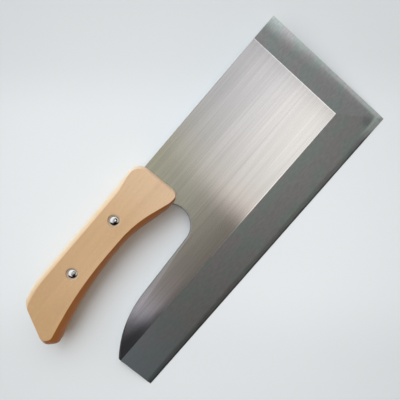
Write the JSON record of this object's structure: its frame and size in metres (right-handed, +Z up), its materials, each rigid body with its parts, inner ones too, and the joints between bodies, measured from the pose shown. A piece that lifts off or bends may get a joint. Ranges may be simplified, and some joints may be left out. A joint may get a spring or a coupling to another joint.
{
  "type": "soba knife",
  "caption": "Broad square-ended noodle knife with a flat-backed single-bevel blade, and a riveted wooden handle that sits over the heel with a finger gap under it.",
  "frame": {"origin": "centre of the knife's outline as it lies on a table, at table level", "axes": "+X along the cutting edge from the heel to the front end, +Y from the edge towards the spine, +Z up, out of the bevelled right face, which is tipped 7.07 degrees because the knife lies on its edge and on the rim of the left handle scale"},
  "size_m": [0.2598, 0.1046, 0.0241],
  "materials": {
    "brushed_steel": "flat brushed lengthwise, bevels ground to a fine satin",
    "pale_wood": "pale fine-grained hardwood, sanded and oiled to a satin",
    "polished_nickel": "polished"
  },
  "bodies": {
    "root": {"blade": "brushed_steel", "right_handle_scale": "pale_wood", "left_handle_scale": "pale_wood", "rear_rivet_pin": "polished_nickel", "rear_rivet_sleeve": "polished_nickel", "front_rivet_pin": "polished_nickel", "front_rivet_sleeve": "polished_nickel"}
  },
  "joints": []
}
